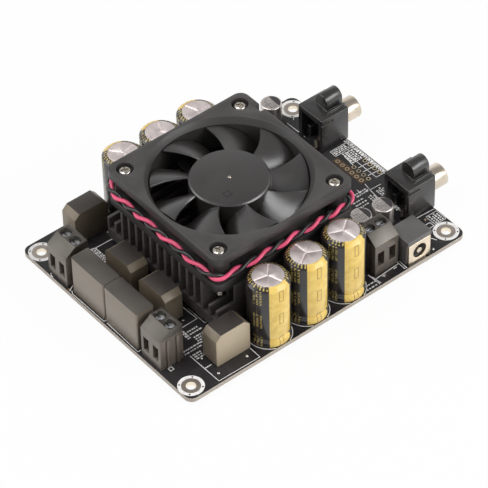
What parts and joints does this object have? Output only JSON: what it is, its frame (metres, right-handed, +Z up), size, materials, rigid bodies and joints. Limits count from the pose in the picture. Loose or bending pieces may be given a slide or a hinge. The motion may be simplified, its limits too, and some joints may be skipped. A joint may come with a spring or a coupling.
{
  "type": "audio amplifier board",
  "caption": "Class D audio amplifier board: fan-cooled heatsink over the chip, capacitors, inductors, screw terminals, phono sockets and a power jack",
  "frame": {"origin": "midway between the four mounting holes, on the underside of the board", "axes": "+X along the board's length towards the phono sockets, +Y towards the rear capacitor row, +Z up out of the board"},
  "size_m": [0.1303, 0.0932, 0.0383],
  "materials": {
    "board": "satin solder mask, near black",
    "solder": "bright solder",
    "ceramic_chip": "small ceramic parts",
    "moulding_compound": "black epoxy",
    "thermal_pad": "grey silicone",
    "heatsink_black": "black anodised",
    "spacer_brass": "turned",
    "screw_steel": "nickel plated",
    "fan_plastic": "fine texture, charcoal",
    "rotor_plastic": "satin charcoal",
    "yoke_steel": "plain",
    "ferrite": "sintered",
    "bearing_bronze": "sintered",
    "stator_steel": "laminations and windings",
    "board_green": "solder mask",
    "lead_insulation": "pink and black insulation",
    "connector_nylon": "natural nylon",
    "pin_tin": "tinned",
    "can_sleeve": "glossy sleeve with a yellow band",
    "inductor_block": "grey ferrite moulding",
    "film_case": "satin grey",
    "terminal_plastic": "satin black",
    "terminal_screw_steel": "zinc plated",
    "clamp_steel": "zinc plated",
    "contact_brass": "tinned",
    "socket_plastic": "satin black",
    "nickel": "nickel plated",
    "small_can": "bare can with a black base"
  },
  "bodies": {
    "amplifier": {"circuit_board": "board", "solder_joints": "solder", "surface_parts": "ceramic_chip", "amplifier_chip": "moulding_compound", "thermal_pad": "thermal_pad", "heatsink": "heatsink_black", "heatsink_spacers": "spacer_brass", "heatsink_screws": "screw_steel", "fan_screws": "screw_steel", "fan_frame": "fan_plastic", "fan_bearing": "bearing_bronze", "fan_stator": "stator_steel", "fan_circuit": "board_green", "fan_lead": "lead_insulation", "fan_plug": "connector_nylon", "fan_header": "connector_nylon", "header_pins": "pin_tin", "capacitor_front_1": "can_sleeve", "capacitor_rear_1": "can_sleeve", "capacitor_front_2": "can_sleeve", "capacitor_rear_2": "can_sleeve", "capacitor_front_3": "can_sleeve", "capacitor_rear_3": "can_sleeve", "inductor_front": "inductor_block", "inductor_rear": "inductor_block", "inductor_middle_1": "inductor_block", "inductor_middle_2": "inductor_block", "film_capacitor_1": "film_case", "film_capacitor_2": "film_case", "terminal_left_housing": "terminal_plastic", "terminal_front_housing": "terminal_plastic", "terminal_power_housing": "terminal_plastic", "terminal_contacts": "contact_brass", "socket_1_housing": "socket_plastic", "socket_1_shell": "nickel", "socket_2_housing": "socket_plastic", "socket_2_shell": "nickel", "socket_contacts": "nickel", "jack_face": "nickel", "jack_pin": "nickel", "jack_housing": "socket_plastic", "small_capacitor_1": "small_can", "small_capacitor_2": "small_can", "small_capacitor_3": "small_can"},
    "rotor": {"fan_rotor": "rotor_plastic", "rotor_yoke": "yoke_steel", "rotor_magnet": "ferrite", "fan_shaft": "yoke_steel"},
    "terminal_left_screw_1_body": {"terminal_left_screw_1": "terminal_screw_steel"},
    "terminal_left_clamp_1_body": {"terminal_left_clamp_1": "clamp_steel"},
    "terminal_left_screw_2_body": {"terminal_left_screw_2": "terminal_screw_steel"},
    "terminal_left_clamp_2_body": {"terminal_left_clamp_2": "clamp_steel"},
    "terminal_front_screw_1_body": {"terminal_front_screw_1": "terminal_screw_steel"},
    "terminal_front_clamp_1_body": {"terminal_front_clamp_1": "clamp_steel"},
    "terminal_front_screw_2_body": {"terminal_front_screw_2": "terminal_screw_steel"},
    "terminal_front_clamp_2_body": {"terminal_front_clamp_2": "clamp_steel"},
    "terminal_power_screw_1_body": {"terminal_power_screw_1": "terminal_screw_steel"},
    "terminal_power_clamp_1_body": {"terminal_power_clamp_1": "clamp_steel"},
    "terminal_power_screw_2_body": {"terminal_power_screw_2": "terminal_screw_steel"},
    "terminal_power_clamp_2_body": {"terminal_power_clamp_2": "clamp_steel"}
  },
  "joints": [
    {"name": "fan_spin", "type": "hinge", "parent": "amplifier", "child": "rotor", "pos_m": [-0.0056, 0, 0.03], "axis": [0, 0, 1], "continuous": true},
    {"name": "terminal_left_screw_1_turn", "type": "hinge", "parent": "amplifier", "child": "terminal_left_screw_1_body", "pos_m": [-0.0533, 0.02929, 0.0136], "axis": [0, 0, 1], "range_deg": [-2160, 0]},
    {"name": "terminal_left_clamp_1_rise", "type": "slide", "parent": "amplifier", "child": "terminal_left_clamp_1_body", "axis": [0, 0, 1], "range_m": [0, 0.003]},
    {"name": "terminal_left_screw_2_turn", "type": "hinge", "parent": "amplifier", "child": "terminal_left_screw_2_body", "pos_m": [-0.0533, 0.02421, 0.0136], "axis": [0, 0, 1], "range_deg": [-2160, 0]},
    {"name": "terminal_left_clamp_2_rise", "type": "slide", "parent": "amplifier", "child": "terminal_left_clamp_2_body", "axis": [0, 0, 1], "range_m": [0, 0.003]},
    {"name": "terminal_front_screw_1_turn", "type": "hinge", "parent": "amplifier", "child": "terminal_front_screw_1_body", "pos_m": [-0.0533, -0.02191, 0.0136], "axis": [0, 0, 1], "range_deg": [-2160, 0]},
    {"name": "terminal_front_clamp_1_rise", "type": "slide", "parent": "amplifier", "child": "terminal_front_clamp_1_body", "axis": [0, 0, 1], "range_m": [0, 0.003]},
    {"name": "terminal_front_screw_2_turn", "type": "hinge", "parent": "amplifier", "child": "terminal_front_screw_2_body", "pos_m": [-0.0533, -0.02699, 0.0136], "axis": [0, 0, 1], "range_deg": [-2160, 0]},
    {"name": "terminal_front_clamp_2_rise", "type": "slide", "parent": "amplifier", "child": "terminal_front_clamp_2_body", "axis": [0, 0, 1], "range_m": [0, 0.003]},
    {"name": "terminal_power_screw_1_turn", "type": "hinge", "parent": "amplifier", "child": "terminal_power_screw_1_body", "pos_m": [0.02596, -0.03535, 0.0136], "axis": [0, 0, 1], "range_deg": [-2160, 0]},
    {"name": "terminal_power_clamp_1_rise", "type": "slide", "parent": "amplifier", "child": "terminal_power_clamp_1_body", "axis": [0, 0, 1], "range_m": [0, 0.003]},
    {"name": "terminal_power_screw_2_turn", "type": "hinge", "parent": "amplifier", "child": "terminal_power_screw_2_body", "pos_m": [0.03104, -0.03535, 0.0136], "axis": [0, 0, 1], "range_deg": [-2160, 0]},
    {"name": "terminal_power_clamp_2_rise", "type": "slide", "parent": "amplifier", "child": "terminal_power_clamp_2_body", "axis": [0, 0, 1], "range_m": [0, 0.003]}
  ],
  "couplings": [
    {"joint": "terminal_left_screw_1_turn", "follows": "terminal_left_clamp_1_rise", "rad_per_m": -12566},
    {"joint": "terminal_left_screw_2_turn", "follows": "terminal_left_clamp_2_rise", "rad_per_m": -12566},
    {"joint": "terminal_front_screw_1_turn", "follows": "terminal_front_clamp_1_rise", "rad_per_m": -12566},
    {"joint": "terminal_front_screw_2_turn", "follows": "terminal_front_clamp_2_rise", "rad_per_m": -12566},
    {"joint": "terminal_power_screw_1_turn", "follows": "terminal_power_clamp_1_rise", "rad_per_m": -12566},
    {"joint": "terminal_power_screw_2_turn", "follows": "terminal_power_clamp_2_rise", "rad_per_m": -12566}
  ]
}
